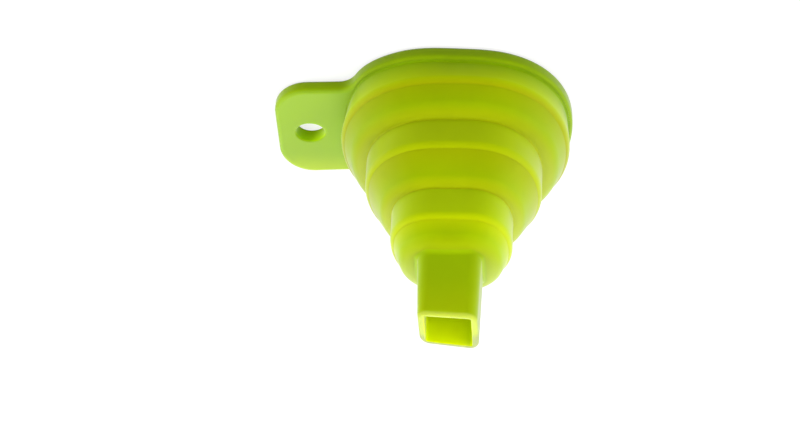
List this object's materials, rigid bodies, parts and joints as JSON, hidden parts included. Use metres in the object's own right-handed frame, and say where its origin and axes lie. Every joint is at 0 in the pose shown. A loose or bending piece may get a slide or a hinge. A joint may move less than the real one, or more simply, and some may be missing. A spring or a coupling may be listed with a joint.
{
  "type": "collapsible funnel",
  "caption": "Small collapsible silicone kitchen funnel with a round flanged mouth, a flat hang tab, stepped rings joined by thin folds, and a tapered square spout.",
  "frame": {"origin": "middle of the object's footprint on the plane that the mouth stands on", "axes": "+Z along the funnel's axis from the mouth to the spout, +X from the funnel's axis towards the hang tab"},
  "size_m": [0.0952, 0.075, 0.078],
  "materials": {
    "mouth_flange": "satin lime green silicone rubber",
    "hang_tab": "satin lime green silicone rubber",
    "mouth_ring": "satin lime green silicone rubber",
    "upper_fold": "satin lime green silicone rubber",
    "middle_ring": "satin lime green silicone rubber",
    "middle_fold": "satin lime green silicone rubber",
    "neck_ring": "satin lime green silicone rubber",
    "neck_fold": "satin lime green silicone rubber",
    "spout_collar": "satin lime green silicone rubber",
    "spout": "satin lime green silicone rubber"
  },
  "bodies": {
    "mouth": {"mouth_flange": "mouth_flange", "hang_tab": "hang_tab", "mouth_ring": "mouth_ring", "upper_fold": "upper_fold"},
    "middle_tier": {"middle_ring": "middle_ring", "middle_fold": "middle_fold"},
    "neck_tier": {"neck_ring": "neck_ring", "neck_fold": "neck_fold"},
    "spout_tier": {"spout_collar": "spout_collar", "spout": "spout"}
  },
  "joints": [
    {"name": "upper_fold_slide", "type": "slide", "parent": "mouth", "child": "middle_tier", "axis": [0, 0, -1], "range_m": [0, 0.017], "deforming": ["upper_fold"]},
    {"name": "middle_fold_slide", "type": "slide", "parent": "middle_tier", "child": "neck_tier", "axis": [0, 0, -1], "range_m": [0, 0.018], "deforming": ["middle_fold"]},
    {"name": "neck_fold_slide", "type": "slide", "parent": "neck_tier", "child": "spout_tier", "axis": [0, 0, -1], "range_m": [0, 0.0165], "deforming": ["neck_fold"]}
  ]
}
